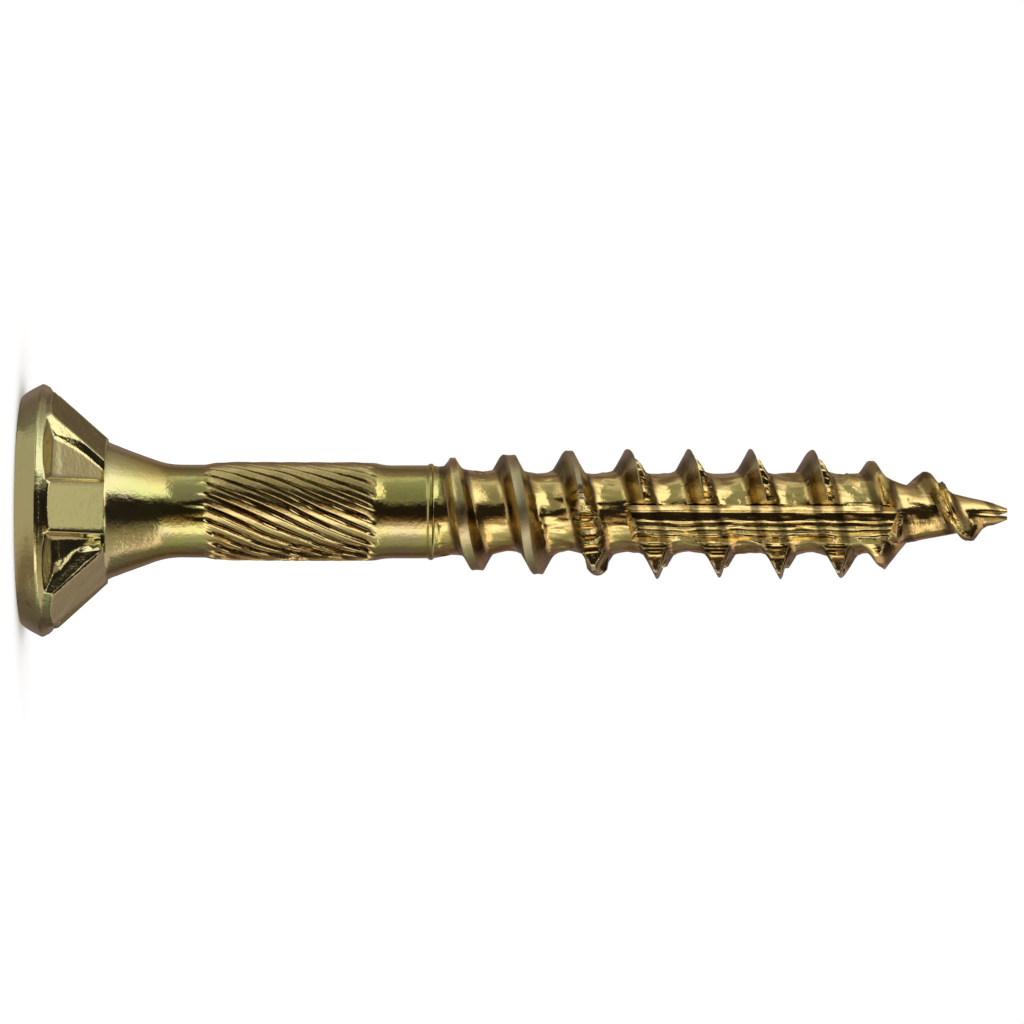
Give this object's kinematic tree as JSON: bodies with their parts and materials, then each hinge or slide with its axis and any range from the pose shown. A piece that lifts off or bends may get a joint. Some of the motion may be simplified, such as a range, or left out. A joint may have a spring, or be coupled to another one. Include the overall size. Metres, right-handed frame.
{
  "type": "flat head wood screw",
  "caption": "Countersunk wood screw with ribs under the head, a six-lobe recess, a knurled shank, a coarse notched thread and a fluted point.",
  "frame": {"origin": "on the screw's axis, in the plane of the head's flat face, which the screw stands on", "axes": "+Z along the axis from the head to the point; -Y faces the picture's camera, where the flute near the point is open; +X is the lower side of the picture"},
  "size_m": [0.0098, 0.0098, 0.0381],
  "materials": {
    "yellow_zinc_steel": "bright yellow chromate over zinc plating"
  },
  "bodies": {
    "root": {"wood_screw": "yellow_zinc_steel"}
  },
  "joints": []
}
